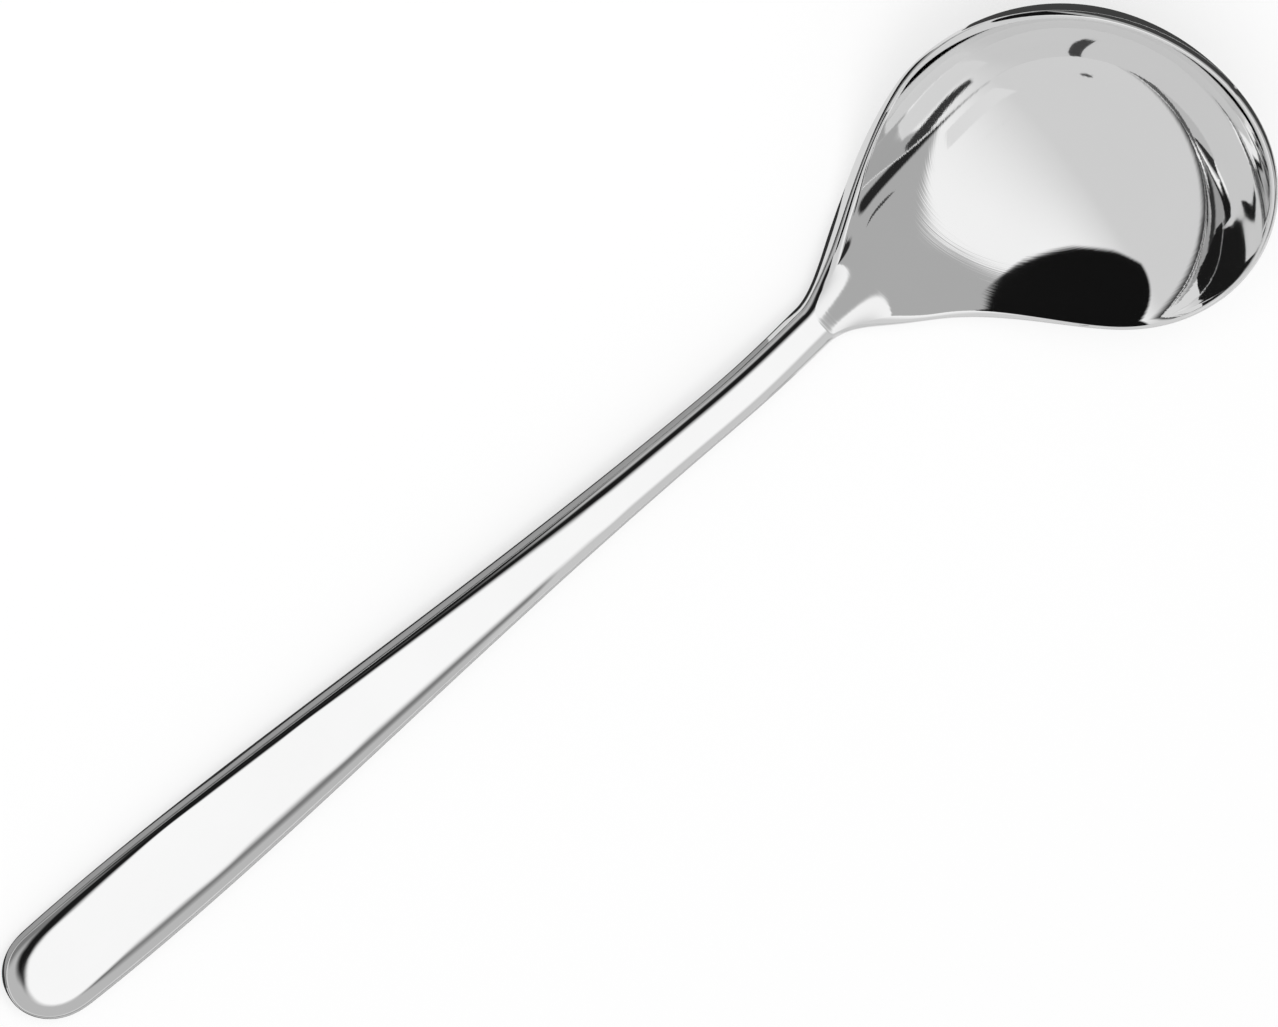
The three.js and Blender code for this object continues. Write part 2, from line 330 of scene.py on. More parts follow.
@dataclass(frozen=True)
class SteelFinish:
    """One polished steel surface: its tint, its gloss and its fine polishing lines.

    Smudges shift it from its tint and gloss towards its shade and haze.
    """

    name: str
    grain: Grain
    tint: float = 0.94
    shade: float = 0.915
    gloss: float = 0.02
    haze: float = 0.05
    smudges_per_metre: float = 38.0
    smudge_detail: float = 4.0
    smudge_range: Spot = (0.3, 0.7)
    line_strength: float = 0.02
    line_depth: float = 0.1
    lines_per_metre: float = 2600.0
    line_detail: float = 2.0
    line_stretch: float = 0.02

    def material(self) -> bpy.types.Material:
        """Makes the finish's material.

        Returns:
            A metal whose tint and gloss vary a little, with faint lines in its surface.
        """
        made = bpy.data.materials.new(self.name)
        made.use_nodes = True
        tree = made.node_tree
        place = tree.nodes.new("ShaderNodeTexCoord").outputs["Object"]
        smudge = self.noise(tree, place, self.smudges_per_metre, self.smudge_detail)
        laid = self.laid_along(tree, place)
        lines = self.noise(tree, laid, self.lines_per_metre, self.line_detail)
        bump = add_node(
            tree,
            "ShaderNodeBump",
            {"Strength": self.line_strength, "Distance": self.line_depth * METRES, "Height": lines},
        )
        steel = tree.nodes["Principled BSDF"].inputs
        feed(tree, steel["Metallic"], 1.0)
        feed(tree, steel["Base Color"], self.spread(tree, smudge, self.shade, self.tint))
        feed(tree, steel["Roughness"], self.spread(tree, smudge, self.haze, self.gloss))
        feed(tree, steel["Normal"], bump.outputs["Normal"])
        return made

    def noise(self, tree: Tree, place: Socket, scale: float, detail: float) -> Socket:
        """Adds a cloudy pattern.

        Args:
            tree: The material's nodes.
            place: Where the pattern is read.
            scale: How many of its features there are in a metre.
            detail: How many finer layers it has.

        Returns:
            The pattern, from 0 to 1.
        """
        values = {"Vector": place, "Scale": scale, "Detail": detail}
        return add_node(tree, "ShaderNodeTexNoise", values).outputs["Fac"]

    def mapped(self, tree: Tree, place: Socket, change: str, amount: Sequence[float]) -> Socket:
        """Moves or scales the places where a pattern is read."""
        return add_node(tree, "ShaderNodeMapping", {"Vector": place, change: amount}).outputs[0]

    def laid_along(self, tree: Tree, place: Socket) -> Socket:
        """Stretches places along the polishing lines.

        Args:
            tree: The material's nodes.
            place: The places.

        Returns:
            Places that change little along a line.
        """
        if self.grain is Grain.ALONG_HANDLE:
            return self.mapped(tree, place, "Scale", (self.line_stretch, 1.0, 1.0))
        from_rim = self.mapped(tree, place, "Location", [-away * METRES for away in REST.shift])
        from_axis = self.mapped(tree, from_rim, "Scale", (1.0, 1.0, 0.0))
        drawn = self.mapped(tree, from_rim, "Scale", [self.line_stretch] * 3)
        radius = add_sum(tree, "ShaderNodeVectorMath", "LENGTH", from_axis).outputs["Value"]
        return add_sum(tree, "ShaderNodeVectorMath", "ADD", radius, drawn).outputs["Vector"]

    def spread(self, tree: Tree, pattern: Socket, low: float, high: float) -> Socket:
        """Spreads a pattern over a range of numbers.

        Args:
            tree: The material's nodes.
            pattern: The pattern.
            low: The number at the pattern's low end.
            high: The number at its high end.

        Returns:
            The number at each place.
        """
        start, end = self.smudge_range
        values = {"Value": pattern, "From Min": start, "From Max": end, "To Min": low, "To Max": high}
        return add_node(tree, "ShaderNodeMapRange", values).outputs["Result"]


def dress(piece: bpy.types.Object, node: str, finish: SteelFinish) -> bpy.types.Object:
    """Gives a piece its finish and its place on the part.

    Args:
        piece: The piece.
        node: The solid that it stands for, whose material slot has the same name.
        finish: Its finish.

    Returns:
        The piece.
    """
    piece.data.materials.append(finish.material())
    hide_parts(node)
    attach(piece, BODY)
    return piece


def set_across(line: Line, side: Points, up: Points) -> Points:
    """Sets a section square across a line.

    Args:
        line: A point of the line and its slope there.
        side: How far each of the section's points lies to the side.
        up: How far each of them lies over the line.

    Returns:
        The section's points.
    """
    point, slope = line
    x, z = point[0] - math.sin(slope) * up, point[2] + math.cos(slope) * up
    return np.stack([x, side, z], axis=-1)


@dataclass
class Bowl:
    """The drawn bowl with its neck, and the tang that is hidden in the handle.

    Its rows run along the ladle: row 0 is the bowl's tip, 1 the shoulder and 2 the neck's end.
    """

    width: float = 68.0
    length: float = 60.8
    depth: float = 22.0
    wall: float = 1.4
    shoulder_angle: float = math.radians(62)
    shoulder_run: float = 15.5
    rim_dip: float = 6.0
    rim_dip_skew: float = 2.5
    ramp_start: float = 9.0
    neck_reach: float = 52.8
    neck_rise: float = 2.2
    neck_rise_share: float = 0.7
    neck_run: float = 7.0
    neck_width: float = 8.4
    neck_thickness: float = 4.4
    neck_hollow: float = 0.3
    neck_slope: float = math.radians(29)
    neck_blend: float = 16.0
    section_fullness: float = 2.6
    lip_angle: float = math.radians(40)
    lip_crest: float = 1.4
    lip_fall: float = 0.17
    rim_rows: int = 96
    neck_rows: int = 72
    sheet_steps: int = 96
    lip_steps: int = 10
    step: float = 1e-3
    tip_gap: float = 1e-4
    least_edge: float = 1e-5
    finish: SteelFinish = SteelFinish(
        "polished_bowl_steel", Grain.ROUND_BOWL, tint=0.93, shade=0.91
    )

    def __post_init__(self) -> None:
        """Settles the curves that the rim and the floor follow."""
        half_length, half_width = self.length / 2, self.width / 2
        cos, sin = math.cos(self.shoulder_angle), math.sin(self.shoulder_angle)
        shoulder = np.array([half_length * cos, half_width * sin])
        direction = unit(np.array([half_length * sin, -half_width * cos]))
        edge = (self.neck_width - self.neck_thickness) / 2
        self.neck_edge = np.array(
            [
                shoulder,
                shoulder + direction * self.shoulder_run,
                [self.neck_reach - self.neck_run, edge],
                [self.neck_reach, edge],
            ]
        )
        self.radius = (half_width**2 + self.depth**2) / (2 * self.depth)
        run = self.neck_reach - self.ramp_start
        foot = self.cap_height(self.ramp_start)
        foot_slope = (self.cap_height(self.ramp_start + self.step) - foot) / self.step
        top = self.neck_rise - self.neck_hollow
        top_slope = math.tan(self.neck_slope)
        self.ramp = np.array([foot, foot + foot_slope * run / 3, top - top_slope * run / 3, top])

    def rim_plan(self, row: float) -> Spot:
        """Follows the rim in plan.

        Args:
            row: The row.

        Returns:
            The distance along the ladle and half the width there.
        """
        if row > 1:
            x, half_width = bezier(self.neck_edge, row - 1)
            return float(x), float(half_width)
        turn = row * (math.pi - self.shoulder_angle)
        return -self.length / 2 * math.cos(turn), self.width / 2 * math.sin(turn)

    def rim_height(self, x: float) -> float:
        """Follows the rim's height, which sinks at the shoulders and rises to the neck.

        Args:
            x: The distance along the ladle.

        Returns:
            The height there.
        """
        span = self.neck_reach + self.length / 2
        share = min(max((x + self.length / 2) / span, 0.0), 1.0)
        dip = self.rim_dip * math.sin(math.pi * share**self.rim_dip_skew) ** 2
        rise_start = self.neck_reach * (1 - self.neck_rise_share)
        return self.neck_rise * smootherstep(x, rise_start, self.neck_reach) - dip

    def cap_height(self, x: float) -> float:
        """Gives the height of the bowl's round floor in the ladle's plane of symmetry."""
        across = x * self.width / self.length
        return self.radius - self.depth - math.sqrt(self.radius**2 - across**2)

    def floor_height(self, x: float) -> float:
        """Follows the floor in the ladle's plane of symmetry, round at first and then a ramp.

        Args:
            x: The distance along the ladle.

        Returns:
            The height there.
        """
        if x < self.ramp_start:
            return self.cap_height(x)
        share = (x - self.ramp_start) / (self.neck_reach - self.ramp_start)
        return float(bezier(self.ramp, share))

    def thickness(self, x: float) -> float:
        """Gives the sheet's thickness, which grows towards the neck."""
        share = smootherstep(x, self.ramp_start, self.neck_reach)
        return self.wall + (self.neck_thickness - self.wall) * share

    def inside(self, row: float, across: Points) -> Points:
        """Reads the sheet's inside along one row.

        Args:
            row: The row.
            across: Shares across the row, from -1 at one edge to 1 at the other.

        Returns:
            The points of an arc from edge to edge.
        """
        x, half_width = self.rim_plan(row)
        floor = self.floor_height(x)
        sag = self.rim_height(x) - floor
        radius = (half_width**2 + sag**2) / (2 * sag)
        turn = across * math.atan2(half_width, radius - sag)
        heights = floor + radius * (1 - np.cos(turn))
        return np.stack([np.full_like(turn, x), radius * np.sin(turn), heights], axis=-1)

    def slopes(self, row: float, across: Points) -> Points:
        """Finds the sheet's direction along the ladle.

        Args:
            row: The row.
            across: Shares across the row, as for inside.

        Returns:
            The direction at each point.
        """
        middle = min(max(row, 2 * self.step), 2 - self.step)
        ahead = self.inside(middle + self.step, across)
        return unit(ahead - self.inside(middle - self.step, across))

    def normals(self, row: float, across: Points) -> Points:
        """Gives the inside's normals at each point of a row."""
        side = self.inside(row, across + self.step) - self.inside(row, across - self.step)
        return unit(np.cross(self.slopes(row, across), side))

    def lip(self, row: float, side: int) -> Points:
        """Rounds the sheet's edge, which is ground to fall away to the outside.

        Args:
            row: The row.
            side: 1 or -1, the edge.

        Returns:
            Points from the inside's edge to the outside's, without those two.
        """
        edge = np.array([float(side)])
        normal = self.normals(row, edge)[0]
        outward = np.cross(normal, self.slopes(row, edge)[0]) * side
        radius = self.thickness(self.rim_plan(row)[0]) / 2
        centre = self.inside(row, edge)[0] - normal * radius
        corners = np.array([[1, 0], [1, self.lip_crest], [-1, self.lip_fall], [-1, 0]]) * radius
        shares = np.arange(1, self.lip_steps) / self.lip_steps
        return centre + np.array([bezier(corners, share) for share in shares]) @ [normal, outward]

    def ring(self, row: float) -> Points:
        """Goes once round the sheet's section.

        Args:
            row: The row.

        Returns:
            The points of the inside, one lip, the outside and the other lip.
        """
        across = np.linspace(-1, 1, self.sheet_steps + 1)
        inside = self.inside(row, across)
        outside = inside - self.normals(row, across) * self.thickness(self.rim_plan(row)[0])
        return np.concatenate([inside, self.lip(row, 1), outside[::-1], self.lip(row, -1)[::-1]])

    def tip_ring(self) -> Points:
        """Closes the section up to one curve in the ladle's plane of symmetry.

        Returns:
            Points that answer to those of a ring.
        """
        middle = np.zeros(1)
        inside = self.inside(self.step, middle)
        outside = inside - self.normals(self.step, middle) * self.wall
        lip = self.lip(self.step, 1) * np.array([1.0, 0.0, 1.0])
        columns = self.sheet_steps + 1
        return np.concatenate(
            [np.repeat(inside, columns, 0), lip, np.repeat(outside, columns, 0), lip[::-1]]
        )

    def bar_turns(self) -> Points:
        """Spreads turns round a bar's section.

        Returns:
            Turns that answer to the points of a ring.
        """
        lip, back = self.lip_angle, math.pi
        stretches = (
            (back - lip, lip, self.sheet_steps),
            (lip, -lip, self.lip_steps),
            (-lip, lip - back, self.sheet_steps),
            (lip - back, -lip - back, self.lip_steps),
        )
        return np.concatenate([np.linspace(*stretch, endpoint=False) for stretch in stretches])

    def neck_line(self, row: float) -> Line:
        """Follows the middle of the neck's metal.

        Args:
            row: The row.

        Returns:
            The point and the slope there.
        """
        normal = self.normals(row, np.zeros(1))[0]
        half = self.thickness(self.rim_plan(row)[0]) / 2
        return self.inside(row, np.zeros(1))[0] - normal * half, math.atan2(-normal[0], normal[2])

    def bar(self, line: Line, halves: Spot) -> Points:
        """Goes once round a bar's section.

        Args:
            line: A point of the bar's line and its slope there.
            halves: Half the section's width and half its thickness.

        Returns:
            Points that answer to those of a ring of the sheet.
        """
        turns = self.bar_turns()
        power = 2 / self.section_fullness
        side = np.sign(np.cos(turns)) * np.abs(np.cos(turns)) ** power * halves[0]
        up = np.sign(np.sin(turns)) * np.abs(np.sin(turns)) ** power * halves[1]
        return set_across(line, side, up)

    def neck_ring(self, row: float) -> Points:
        """Turns the sheet's section into a bar's over the neck's last stretch.

        Args:
            row: The row.

        Returns:
            Points that answer to those of a ring of the sheet.
        """
        x, half_width = self.rim_plan(row)
        blend = smootherstep(x, self.neck_reach - self.neck_blend, self.neck_reach)
        half = self.thickness(x) / 2
        bar = self.bar(self.neck_line(row), (half_width + half, half))
        return self.ring(row) * (1 - blend) + bar * blend

    def build(self, handle: Handle) -> bpy.types.Object:
        """Builds the bowl, its neck and its tang in one piece.

        Args:
            handle: The handle, whose hollow the tang fits.

        Returns:
            The dressed piece.
        """
        rim = [self.ring((i + 1) / self.rim_rows) for i in range(self.rim_rows)]
        neck = [self.neck_ring(1 + (i + 1) / self.neck_rows) for i in range(self.neck_rows)]
        tang = [
            self.bar(handle.line(along), handle.halves(along, handle.tang_inset))
            for along in np.linspace(0, handle.tang_length, handle.tang_rows)
        ]
        skin = Skin()
        numbers = skin.add_grid(np.array([self.tip_ring(), *rim, *neck, *tang]))
        skin.add_sheet(np.concatenate([numbers, numbers[:, :1]], axis=1), flip=True)
        skin.add_face(numbers[-1].tolist()[::-1], smooth=False)
        piece = skin.piece("bowl_with_neck")
        self.weld_tip(piece, len(rim) + len(neck))
        return dress(piece, "bowl", self.finish)

    def weld_tip(self, piece: bpy.types.Object, last_ring: int) -> None:
        """Joins the points that meet at the tip and sharpens the edges of the neck's square end.

        Args:
            piece: The bowl's piece.
            last_ring: Which ring is the neck's end. The tang's first ring comes after it.
        """
        mesh = bmesh.new()
        mesh.from_mesh(piece.data)
        mesh.verts.ensure_lookup_table()
        columns = 2 * (self.sheet_steps + self.lip_steps)
        neck_end = set(range(last_ring * columns, (last_ring + 1) * columns))
        tang_foot = set(range((last_ring + 1) * columns, (last_ring + 2) * columns))
        for edge in mesh.edges:
            pair = {vert.index for vert in edge.verts}
            if pair <= neck_end or pair <= tang_foot:
                edge.smooth = False
        bmesh.ops.remove_doubles(mesh, verts=mesh.verts, dist=self.tip_gap * METRES)
        bmesh.ops.dissolve_degenerate(mesh, edges=mesh.edges, dist=self.least_edge * METRES)
        mesh.to_mesh(piece.data)
        mesh.free()


def handle_finishes() -> dict[str, SteelFinish]:
    """Sets out the finishes of the handle's pieces: the shells' and the slightly duller seam's.

    Returns:
        The finishes by the names of the solids.
    """
    along = Grain.ALONG_HANDLE
    return {
        "handle_upper_shell": SteelFinish("polished_upper_shell_steel", along),
        "handle_lower_shell": SteelFinish("polished_lower_shell_steel", along),
        "handle_seam_weld": SteelFinish(
            "polished_seam_steel", along, tint=0.91, shade=0.89, gloss=0.06, haze=0.11
        ),
    }


@dataclass
class Handle:
    """The hollow handle: two pressed half shells and the weld along their seam."""

    bowl: Bowl
    length: float = 174.0
    slope: float = math.radians(20.6)
    bend_length: float = 27.0
    bend_steps: int = 32
    waist_width: float = 8.3
    middle_width: float = 12.7
    grip_width: float = 17.8
    end_width: float = 17.4
    waist_thickness: float = 4.4
    grip_thickness: float = 6.6
    end_thickness: float = 4.9
    end_round: float = 9.8
    end_fullness: float = 2.4
    waist_at: float = 0.165
    middle_at: float = 0.49
    grip_at: float = 0.76
    thickest_at: float = 0.72
    shell_wall: float = 0.9
    seam_weld: float = 0.8
    seam_share_limit: float = 0.5
    mouth: float = 1.8
    tang_length: float = 18.0
    tang_inset: float = 1.2
    tang_rows: int = 8
    shaft_rows: int = 170
    end_rows: int = 44
    end_share: float = 0.985
    seam_columns: int = 8
    face_columns: int = 64
    finishes: dict[str, SteelFinish] = field(default_factory=handle_finishes)

    def line_slope(self, along: float) -> float:
        """Gives the slope of the handle's line, which bends from the neck's to its own."""
        share = smootherstep(along, 0, self.bend_length)
        return self.bowl.neck_slope + (self.slope - self.bowl.neck_slope) * share

    def line(self, along: float) -> Line:
        """Follows the handle's line.

        Args:
            along: The distance from the neck's end.

        Returns:
            The point and the slope there.
        """
        bent = min(along, self.bend_length)
        step = bent / self.bend_steps
        slopes = [self.line_slope((i + 0.5) * step) for i in range(self.bend_steps)]
        straight = along - bent
        x = step * sum(map(math.cos, slopes)) + straight * math.cos(self.slope)
        z = step * sum(map(math.sin, slopes)) + straight * math.sin(self.slope)
        return self.bowl.neck_line(2)[0] + np.array([x, 0, z]), self.line_slope(along)

    def curve_through(self, given: dict[float, float], at: float) -> float:
        """Reads the smooth curve through given values.

        Args:
            given: Values by their shares of the length.
            at: The share where the curve is read.

        Returns:
            The value there.
        """
        total = 0.0
        for own, value in given.items():
            others = [other for other in given if other != own]
            total += value * math.prod((at - other) / (own - other) for other in others)
        return total

    def halves(self, along: float, inset: float) -> Spot:
        """Gives half the section's width and thickness.

        Args:
            along: The distance from the neck's end.
            inset: How far the section is drawn in, all round and at the end.

        Returns:
            Half the width and half the thickness.
        """
        widths = {
            0.0: self.bowl.neck_width,
            self.waist_at: self.waist_width,
            self.middle_at: self.middle_width,
            self.grip_at: self.grip_width,
            1.0: self.end_width,
        }
        thicknesses = {
            0.0: self.bowl.neck_thickness,
            self.waist_at: self.waist_thickness,
            self.thickest_at: self.grip_thickness,
            1.0: self.end_thickness,
        }
        width = self.curve_through(widths, along / self.length)
        thickness = self.curve_through(thicknesses, along / self.length)
        start = self.length - self.end_round
        turned = min(max((along - start) / (self.end_round - inset), 0.0), 1.0)
        taper = math.sqrt(1 - turned**self.end_fullness)
        return (width / 2 - inset) * taper, (thickness / 2 - inset) * math.sqrt(taper)

    def turns(self, half_thickness: float) -> Points:
        """Spreads a ring's columns: one seam, the top, the other seam, the underside.

        Args:
            half_thickness: Half the section's thickness, which sets how far the seams reach.

        Returns:
            Turns from the lower edge of the +Y seam, once round to the left.
        """
        share = min(self.seam_weld / 2 / half_thickness, self.seam_share_limit)
        power = self.bowl.section_fullness
        reach = math.atan2(share, (1 - share**power) ** (1 / power))
        seam = np.linspace(-reach, reach, self.seam_columns, endpoint=False)
        face = np.linspace(reach, math.pi - reach, self.face_columns, endpoint=False)
        half = np.concatenate([seam, face])
        return np.concatenate([half, half + math.pi])

    def section(self, along: float, inset: float) -> Points:
        """Goes once round the handle's section.

        Args:
            along: The distance from the neck's end.
            inset: How far the section is drawn in.

        Returns:
            Its points, in the columns that turns gives.
        """
        half_width, half_thickness = self.halves(along, inset)
        turns = self.turns(half_thickness)
        cos, sin = np.cos(turns), np.sin(turns)
        power = self.bowl.section_fullness
        reach = (np.abs(cos) ** power + np.abs(sin) ** power) ** (-1 / power)
        return set_across(self.line(along), half_width * cos * reach, half_thickness * sin * reach)

    def rings(self, inset: float) -> Points:
        """Sets out the rings of one skin of the handle.

        Args:
            inset: How far the skin is drawn in.

        Returns:
            The rings, from the handle's mouth to its end.
        """
        start = self.length - self.end_round
        shaft = np.linspace(self.mouth, start, self.shaft_rows, endpoint=False)
        shares = np.linspace(0, self.end_share, self.end_rows)
        end = start + (self.end_round - inset) * np.sin(math.pi / 2 * shares)
        return np.array([self.section(along, inset) for along in np.concatenate([shaft, end])])

    def build(self) -> list[bpy.types.Object]:
        """Builds the two shells and the weld between them.

        Returns:
            The dressed pieces.
        """
        wall = wall_between(self.rings(0.0), self.rings(self.shell_wall))
        seam, half = self.seam_columns, self.seam_columns + self.face_columns
        columns = {
            "handle_upper_shell": np.arange(seam, half + 1),
            "handle_lower_shell": np.arange(half + seam, 2 * half + 1) % (2 * half),
        }
        pieces = {}
        for node, own in columns.items():
            pieces[node] = self.shell(node, tuple(grid[:, own] for grid in wall))
        node = "handle_seam_weld"
        right, left = np.arange(seam + 1), np.arange(half, half + seam + 1)
        sides = tuple(np.concatenate([grid[:, right], grid[::-1, left[::-1]]]) for grid in wall)
        pieces[node] = self.band(node, sides)
        return [dress(piece, node, self.finishes[node]) for node, piece in pieces.items()]

    def shell(self, node: str, wall: Wall) -> bpy.types.Object:
        """Closes one half shell.

        Args:
            node: The solid that it stands for.
            wall: Its two sides.

        Returns:
            The piece.
        """
        skin = Skin()
        outer, inner = skin.add_wall(wall)
        skin.add_face(outer[-1].tolist(), smooth=False)
        skin.add_face(inner[-1].tolist()[::-1], smooth=False)
        around = [np.concatenate([side[:, 0], side[::-1, -1]]) for side in (outer, inner)]
        skin.add_edge(*around)
        skin.add_edge(outer[0], inner[0], flip=True)
        return skin.piece(node.replace("handle_", "handle_skin_"))

    def band(self, node: str, wall: Wall) -> bpy.types.Object:
        """Closes the seam's weld, which runs along one side, round the end and back.

        Args:
            node: The solid that it stands for.
            wall: Its two sides, in the order in which the band runs.

        Returns:
            The piece.
        """
        skin = Skin()
        outer, inner = skin.add_wall(wall)
        skin.add_edge(outer[:, 0], inner[:, 0])
        skin.add_edge(outer[:, -1], inner[:, -1], flip=True)
        skin.add_edge(outer[0], inner[0], flip=True)
        skin.add_edge(outer[-1], inner[-1])
        return skin.piece(node.replace("handle_", "handle_skin_"))


@dataclass
class NeckWeld:
    """The weld between the neck's end and the handle's mouth, ground flush."""

    handle: Handle
    rows: int = 7
    finish: SteelFinish = SteelFinish(
        "polished_neck_weld_steel",
        Grain.ALONG_HANDLE,
        tint=0.93,
        shade=0.91,
        gloss=0.03,
        haze=0.07,
    )

    def rings(self, inset: float) -> Points:
        """Gives the weld's rings, drawn in by an inset, from the neck's end to the mouth."""
        stations = np.linspace(0, self.handle.mouth, self.rows)
        return np.array([self.handle.section(along, inset) for along in stations])

    def build(self) -> bpy.types.Object:
        """Builds the band round the tang.

        Returns:
            The dressed piece.
        """
        skin = Skin()
        wall = wall_between(self.rings(0.0), self.rings(self.handle.shell_wall))
        outer, inner = skin.add_wall(wall, closed=True)
        skin.add_edge(outer[0], inner[0], flip=True)
        skin.add_edge(outer[-1], inner[-1])
        return dress(skin.piece("neck_weld_band"), "neck_weld", self.finish)


@dataclass(frozen=True)
class Viewpoint:
    """The camera, set in the ladle's own frame: it looks down into the bowl, upside down."""

    turn: float = math.radians(36.823)
    lift: float = math.radians(51.624)
    roll: float = math.radians(178.689)
    distance: float = 3937.0
    target: tuple[float, float, float] = (91.714, 3.957, 18.320)
    picture_width: float = 211.45
    sensor_width: float = 36.0
    farthest: float = 100000.0

    def axes(self) -> Points:
        """Finds the camera's directions in the ladle's own frame.

        Returns:
            Its right, up and backward directions, one a row.
        """
        cos_turn, sin_turn = math.cos(self.turn), math.sin(self.turn)
        cos_lift, sin_lift = math.cos(self.lift), math.sin(self.lift)
        cos_roll, sin_roll = math.cos(self.roll), math.sin(self.roll)
        right = np.array([cos_turn, -sin_turn, 0])
        up = np.array([sin_lift * sin_turn, sin_lift * cos_turn, cos_lift])
        back = np.array([-sin_turn * cos_lift, -cos_turn * cos_lift, sin_lift])
        return np.array([cos_roll * right - sin_roll * up, sin_roll * right + cos_roll * up, back])

    def build(self) -> bpy.types.Object:
        """Makes the scene's camera.

        Returns:
            The camera.
        """
        data = bpy.data.cameras.new("photographer")
        data.sensor_fit = "HORIZONTAL"
        data.sensor_width = self.sensor_width
        data.lens = self.sensor_width * self.distance / self.picture_width
        data.clip_end = self.farthest * METRES
        camera = linked("photographer", data)
        axes = self.axes()
        stand = REST.placed(np.array(self.target) + axes[2] * self.distance)
        pose = Matrix((REST.turn() @ axes.T).tolist()).to_4x4()
        pose.translation = Vector(stand)
        camera.matrix_world = pose
        bpy.context.scene.camera = camera
        return camera


class Ray(Enum):
    """Kinds of rays, by what the light path's outputs call them."""

    CAMERA = "Is Camera Ray"
    GLOSSY = "Is Glossy Ray"


@dataclass(frozen=True)
class LightStrip:
    """A round-ended strip of one brightness, soft at its edge, laid over a chart.

    Each station is a place on the chart and half the strip's width there, in degrees on the sky's
    chart and in millimetres on a card's. Each stretch between two stations has its own softness.
    """

    light: float
    stations: tuple[Station, ...]
    softness: tuple[float, ...] = (1.2,)


class LightChart:
    """Nodes that paint a brightness over a chart, whose two directions each kind of chart sets."""

    first: Socket
    second: Socket

    def __init__(self, tree: Tree) -> None:
        """Takes the nodes that the chart adds to."""
        self.tree = tree

    def place(self, kind: str) -> list[Socket]:
        """Reads the place or direction that is looked at.

        Args:
            kind: In which frame it is read, in the node's own word.

        Returns:
            Its parts along X, Y and Z.
        """
        whole = self.tree.nodes.new("ShaderNodeTexCoord").outputs[kind]
        return list(add_node(self.tree, "ShaderNodeSeparateXYZ", {"Vector": whole}).outputs)

    def sum(self, operation: str, *values: Socket | float) -> Socket:
        """Works out a number by an operation of the math node."""
        return add_sum(self.tree, "ShaderNodeMath", operation, *values).outputs[0]

    def length(self, parts: Sequence[Socket]) -> Socket:
        """Works out how long a way is from its two parts, which are square to each other."""
        squares = [self.sum("MULTIPLY", part, part) for part in parts]
        return self.sum("SQRT", self.sum("ADD", *squares))

    def eased(
        self, value: Socket, reach: Spot, lights: tuple[float | Socket, float | Socket]
    ) -> Socket:
        """Eases from one brightness to another.

        Args:
            value: What the change depends on.
            reach: Where the change starts and where it ends.
            lights: The brightness before and after it.

        Returns:
            The brightness.
        """
        names = ("Value", "From Min", "From Max", "To Min", "To Max")
        values = dict(zip(names, (value, *reach, *lights)))
        made = add_node(self.tree, "ShaderNodeMapRange", values)
        made.interpolation_type = "SMOOTHSTEP"
        return made.outputs["Result"]

    def beyond(self, start: Station, end: Station) -> Socket:
        """Measures how far a place of the chart lies outside of a strip's stretch.

        Args:
            start: The station where the stretch starts.
            end: The station where it ends.

        Returns:
            The distance from its edge, which is negative within it.
        """
        ways = [there - here for here, there in zip(start[:2], end[:2])]
        offs = [self.sum("SUBTRACT", *pair) for pair in zip((self.first, self.second), start)]
        ahead = self.sum("ADD", *(self.sum("MULTIPLY", *pair) for pair in zip(offs, ways)))
        share = self.sum("DIVIDE", ahead, float(np.dot(ways, ways)))
        share = self.sum("MINIMUM", self.sum("MAXIMUM", share, 0.0), 1.0)
        gaps = [
            self.sum("SUBTRACT", off, self.sum("MULTIPLY", share, way))
            for off, way in zip(offs, ways)
        ]
        growth = self.sum("MULTIPLY", share, end[2] - start[2])
        return self.sum("SUBTRACT", self.sum("SUBTRACT", self.length(gaps), growth), start[2])

    def painted(self, light: Socket | float, strips: Sequence[LightStrip]) -> Socket | float:
        """Paints strips over the chart, one over the other.

        Args:
            light: The brightness without them.
            strips: The strips, the lowest first.

        Returns:
            The brightness with them.
        """
        for strip in strips:
            for start, end, soft in zip(strip.stations, strip.stations[1:], strip.softness):
                light = self.eased(self.beyond(start, end), (-soft, soft), (strip.light, light))
        return light


class SkyChart(LightChart):
    """The sky, charted in degrees from overhead: first towards +Y, second towards +X."""

    LEAST_LEVEL: float = 1e-4

    def __init__(self, tree: Tree) -> None:
        """Charts the sky's directions.

        Args:
            tree: The sky's nodes.
        """
        super().__init__(tree)
        x, y, self.height = self.place("Generated")
        away = self.sum("DEGREES", self.sum("ARCCOSINE", self.height))
        level = self.sum("MAXIMUM", self.length((x, y)), self.LEAST_LEVEL)
        reach = self.sum("DIVIDE", away, level)
        self.first = self.sum("MULTIPLY", y, reach)
        self.second = self.sum("MULTIPLY", x, reach)


class CardChart(LightChart):
    """A level card, charted in millimetres: first along X, second along Y."""

    def __init__(self, tree: Tree) -> None:
        """Charts the card's places.

        Args:
            tree: The card's nodes.
        """
        super().__init__(tree)
        x, y, _ = self.place("Object")
        self.first = self.sum("DIVIDE", x, METRES)
        self.second = self.sum("DIVIDE", y, METRES)


def oblong(x0: float, x1: float, y0: float, y1: float) -> tuple[Spot, ...]:
    """Gives the corners of a level sheet that lies square to the handle."""
    return (x0, y0), (x1, y0), (x1, y1), (x0, y1)


